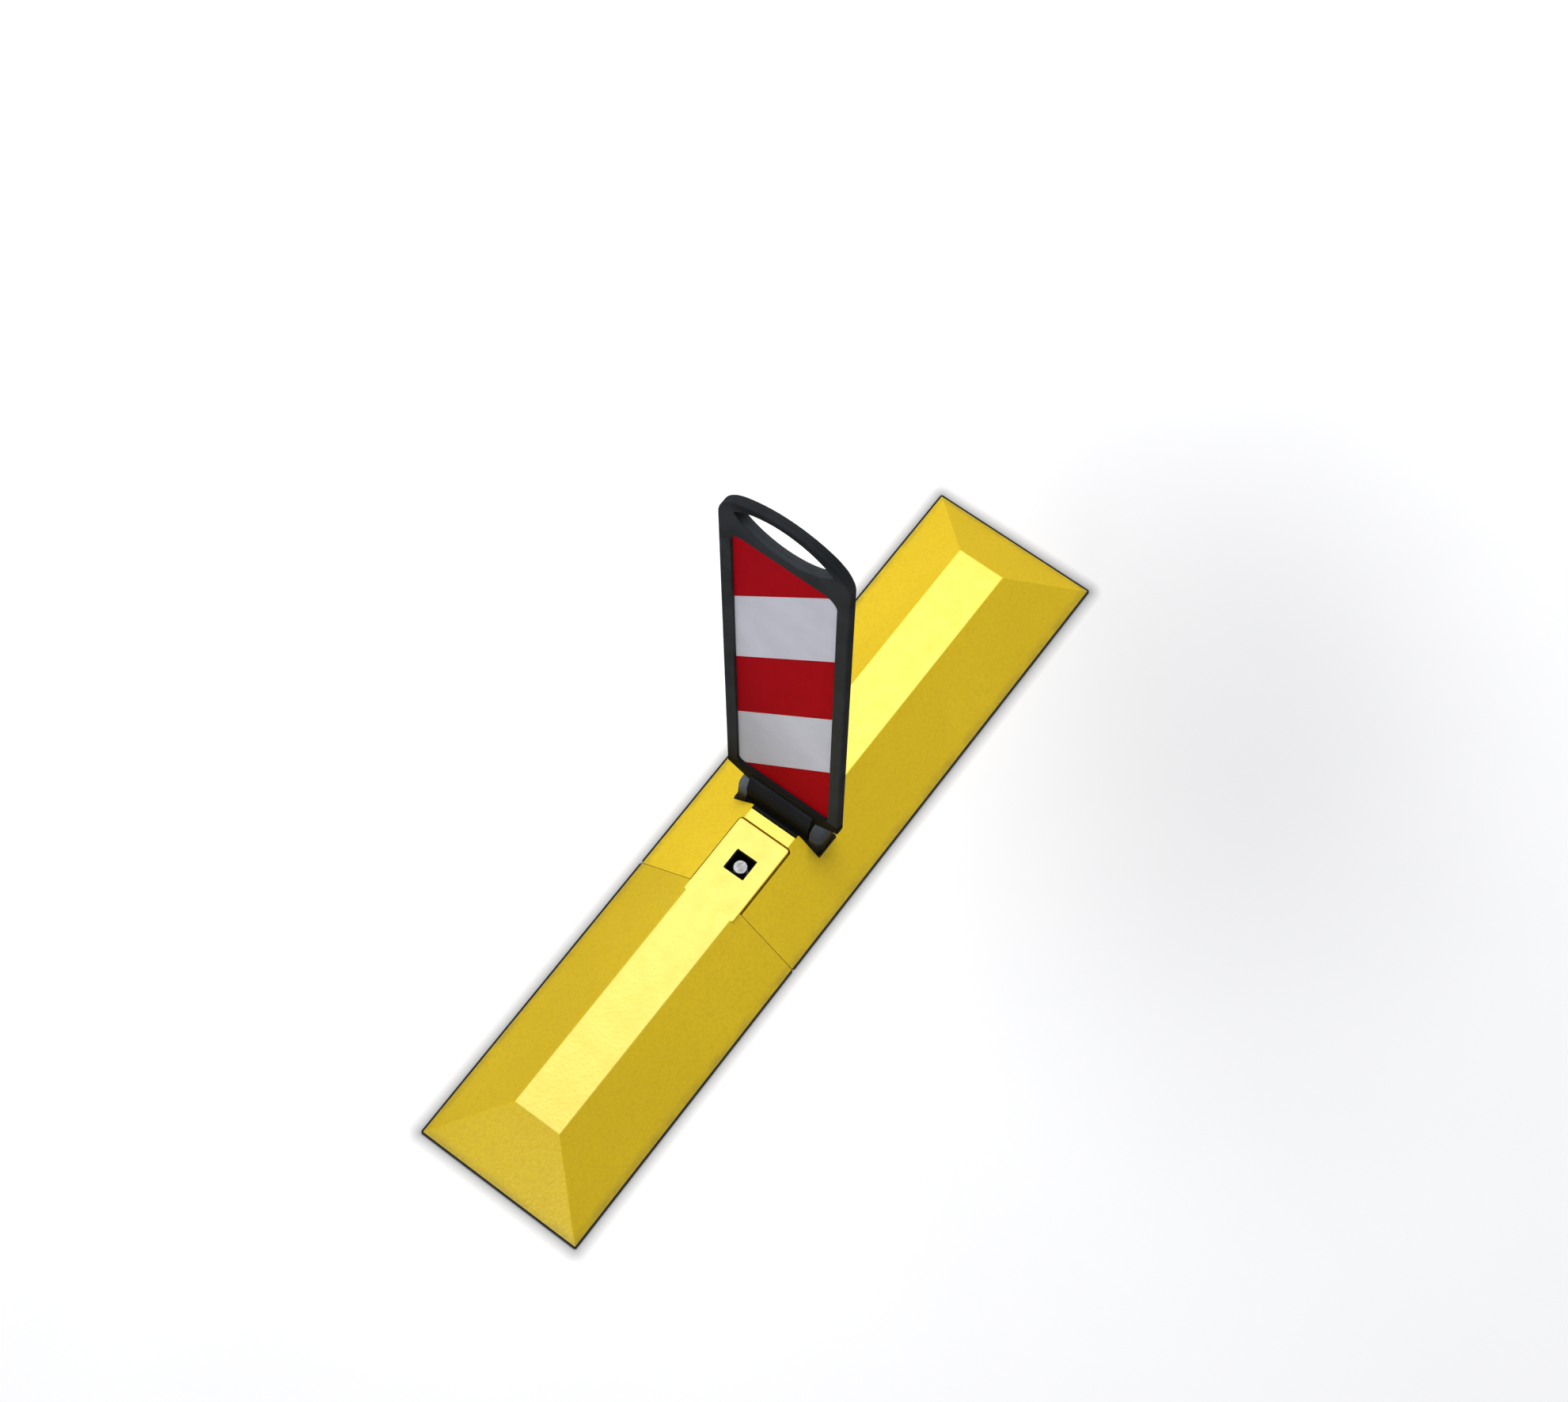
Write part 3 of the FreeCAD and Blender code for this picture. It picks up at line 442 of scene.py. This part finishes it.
def dress(node, material):
    """Gives a CAD node its finish and smooth shading that breaks at real edges."""
    obj = frame["nodes"][node]
    obj.data.materials.clear()
    obj.data.materials.append(material)
    for face in obj.data.polygons:
        face.material_index = 0
        face.use_smooth = True
    obj.data.set_sharp_from_angle(angle=SHARP_ANGLE)


for look_name, node_names in NODE_LOOKS.items():
    for node_name in node_names:
        dress(node_name, LOOKS[look_name])


# ---- fittings made in mesh code -----------------------------------------------------------------
def round_radius(radius, angle):
    return radius


def hexagon_radius(radius, angle):
    """Radius of a hexagon with its flats at radius."""
    sixth = math.pi / 3
    return radius / math.cos((angle + sixth / 2) % sixth - sixth / 2)


def star_radius(radius, angle):
    """Radius of a six-lobed socket."""
    return radius * (1 + 0.13 * math.cos(6 * angle))


def turned(name, profile, place, slot, body):
    """Closed piece turned round its local Z.

    profile holds, from one end to the other, each ring's radius, its height and the function of its shape.
    """
    segments = 48
    mesh = bmesh.new()
    rings = []
    for radius, height, shape in profile:
        ring = []
        for step in range(segments):
            angle = 2 * math.pi * step / segments
            r = shape(radius, angle)
            ring.append(mesh.verts.new((r * math.cos(angle), r * math.sin(angle), height)))
        rings.append(ring)
    for low, high in zip(rings, rings[1:]):
        for step in range(segments):
            after = (step + 1) % segments
            mesh.faces.new((low[step], low[after], high[after], high[step]))
    mesh.faces.new(rings[0][::-1])
    mesh.faces.new(rings[-1])
    data = bpy.data.meshes.new(name)
    bmesh.ops.recalc_face_normals(mesh, faces=mesh.faces)
    mesh.to_mesh(data)
    mesh.free()
    piece = bpy.data.objects.new(name, data)
    bpy.context.scene.collection.objects.link(piece)
    piece.matrix_world = place
    data.materials.append(LOOKS[slot])
    for face in data.polygons:
        face.use_smooth = True
    data.set_sharp_from_angle(angle=SHARP_ANGLE)
    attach(piece, body)
    return piece


def facing(point, direction):
    """Placement at point with local Z along direction."""
    return Matrix.Translation(point) @ Vector(direction).to_track_quat("Z", "Y").to_matrix().to_4x4()


def solid_boxes(node):
    """Lowest and highest corner of each separate solid in a node, from the lowest solid up."""
    mesh = bmesh.new()
    mesh.from_mesh(frame["nodes"][node].data)
    bmesh.ops.remove_doubles(mesh, verts=mesh.verts, dist=1e-6)
    boxes, seen = [], set()
    for start in mesh.verts:
        if start in seen:
            continue
        island, stack = [], [start]
        seen.add(start)
        while stack:
            vert = stack.pop()
            island.append(vert.co.copy())
            for edge in vert.link_edges:
                other = edge.other_vert(vert)
                if other not in seen:
                    seen.add(other)
                    stack.append(other)
        low = Vector(min(v[i] for v in island) for i in range(3))
        high = Vector(max(v[i] for v in island) for i in range(3))
        boxes.append((low, high))
    mesh.free()
    return sorted(boxes, key=lambda pair: (round(pair[0].z, 4), round(pair[0].y, 4)))


def countersunk_profile(head, shank, length, socket, socket_shape):
    """Countersunk screw, head face at height 0, with a thread of fine rings and a driving socket."""
    chamfer = 0.25 * MM
    cone = head - shank
    pitch = 0.8 * MM
    root = 0.86 * shank
    crest = 0.99 * shank
    profile = [(0.2 * shank, -length, round_radius), (0.8 * shank, -length + 0.3 * MM, round_radius)]
    turns = int((length - cone - 1.5 * MM) / pitch)
    for i in range(turns):
        level = -length + 0.5 * MM + i * pitch
        profile.append((root, level, round_radius))
        profile.append((crest, level + pitch / 2, round_radius))
    profile += [
        (crest, -cone, round_radius),
        (head - 0.1 * MM, -chamfer, round_radius),
        (head - 0.12 * MM, -0.12 * MM, round_radius),
        (head - chamfer - 0.1 * MM, -0.02 * MM, round_radius),
        (socket + 0.25 * MM, -0.02 * MM, socket_shape),
        (socket, -0.2 * MM, socket_shape),
        (socket, -0.62 * cone, socket_shape),
        (0.15 * socket, -0.78 * cone, round_radius),
    ]
    return profile


def fit_screws(node, prefix, head, shank, socket, socket_shape):
    """Detailed screws in place of a node's plain ones, heads at the rear face."""
    for index, (low, high) in enumerate(solid_boxes(node), start=1):
        centre = (low + high) / 2
        profile = countersunk_profile(head, shank, high.x - low.x, socket, socket_shape)
        place = facing((high.x, centre.y, centre.z), (1, 0, 0))
        turned("%s_%02d" % (prefix, index), profile, place, "zinc_steel", "panel")
    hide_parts(node)


fit_screws("frame_screws", "frame_screw", head=3.4 * MM, shank=1.8 * MM, socket=1.3 * MM,
           socket_shape=star_radius)
fit_screws("foot_screws", "foot_screw", head=5.4 * MM, shank=3.0 * MM, socket=2.0 * MM,
           socket_shape=hexagon_radius)


# ---- floor, light and camera --------------------------------------------------------------------
def add_floor():
    reach = 40.0
    data = bpy.data.meshes.new("floor")
    corners = [(-reach, -reach, 0), (reach, -reach, 0), (reach, reach, 0), (-reach, reach, 0)]
    data.from_pydata(corners, [], [(0, 1, 2, 3)])
    data.materials.append(pale_floor())
    floor = bpy.data.objects.new("floor", data)
    floor.visible_glossy = False
    bpy.context.scene.collection.objects.link(floor)


def add_softbox(name, centre, target, width, height, power):
    data = bpy.data.lights.new(name, "AREA")
    data.shape = "RECTANGLE"
    data.size = width
    data.size_y = height
    data.energy = power
    lamp = bpy.data.objects.new(name, data)
    bpy.context.scene.collection.objects.link(lamp)
    lamp.location = centre
    lamp.rotation_euler = (Vector(target) - Vector(centre)).to_track_quat("-Z", "Y").to_euler()
    lamp.visible_camera = False
    return lamp


def spare_shadow(lamp, body):
    """The lamp casts no shadow of the pieces that ride on body."""
    blockers = bpy.data.collections.new(lamp.name + "_blockers")
    for obj in bpy.context.scene.objects:
        if obj.type == "MESH" and obj.get("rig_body") == body:
            blockers.objects.link(obj)
    lamp.light_linking.blocker_collection = blockers
    for entry in blockers.collection_objects:
        entry.light_linking.link_state = "EXCLUDE"


def add_sky(strength):
    """Even light from above, falling to a part of its strength below the horizon."""
    world = bpy.data.worlds.new("studio")
    bpy.context.scene.world = world
    world.use_nodes = True
    nodes, links = world.node_tree.nodes, world.node_tree.links
    direction = nodes.new("ShaderNodeTexCoord").outputs["Generated"]
    height = nodes.new("ShaderNodeSeparateXYZ")
    links.new(direction, height.inputs[0])
    fade = nodes.new("ShaderNodeMapRange")
    limits = {"From Min": -0.05, "From Max": 0.10, "To Min": 0.15 * strength, "To Max": strength}
    for limit, value in limits.items():
        fade.inputs[limit].default_value = value
    links.new(height.outputs["Z"], fade.inputs["Value"])
    links.new(fade.outputs["Result"], nodes["Background"].inputs["Strength"])
    nodes["Background"].inputs["Color"].default_value = (1.0, 1.0, 1.02, 1.0)


def add_camera():
    data = bpy.data.cameras.new("camera")
    data.lens = 65.28
    data.sensor_width = 36.0
    data.sensor_fit = "HORIZONTAL"
    camera = bpy.data.objects.new("camera", data)
    bpy.context.scene.collection.objects.link(camera)
    camera.location = (-0.93373, -0.70875, 3.09029)
    camera.rotation_euler = Euler([math.radians(a) for a in (23.79151, -0.13865, -53.29726)])
    bpy.context.scene.camera = camera


add_floor()
add_sky(0.25)
overhead = add_softbox("overhead", centre=(0.93, 0.85, 3.1), target=(0.0, 0.0, 0.0),
                       width=2.4, height=1.8, power=105.0)
spare_shadow(overhead, "panel")
add_softbox("front_fill", centre=(-3.6, -0.4, 0.55), target=(0.0, 0.0, 0.25),
            width=1.6, height=0.9, power=33.0)
add_camera()
bpy.context.scene.view_settings.view_transform = "Standard"
